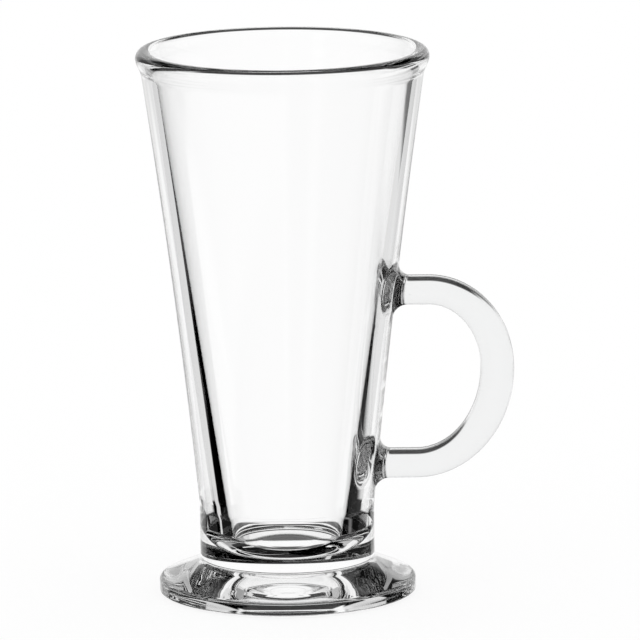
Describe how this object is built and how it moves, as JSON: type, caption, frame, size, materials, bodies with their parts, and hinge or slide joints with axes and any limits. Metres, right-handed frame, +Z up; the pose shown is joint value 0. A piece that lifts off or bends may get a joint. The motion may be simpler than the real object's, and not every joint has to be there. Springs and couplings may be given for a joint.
{
  "type": "latte mug",
  "caption": "Tall tapered clear glass mug with a rounded lip, a wide welded foot and a flat-sided loop handle on filleted roots.",
  "frame": {"origin": "on the standing plane, under the middle of the whole outline; the bowl's axis is 11.2 mm from it towards -X", "axes": "+Z up along the bowl's axis, +X towards the handle, +Y across the handle's flat sides"},
  "size_m": [0.102, 0.0796, 0.15],
  "materials": {
    "clear_glass": "fire-polished, colourless"
  },
  "bodies": {
    "root": {"bowl": "clear_glass", "foot": "clear_glass", "handle": "clear_glass"}
  },
  "joints": []
}
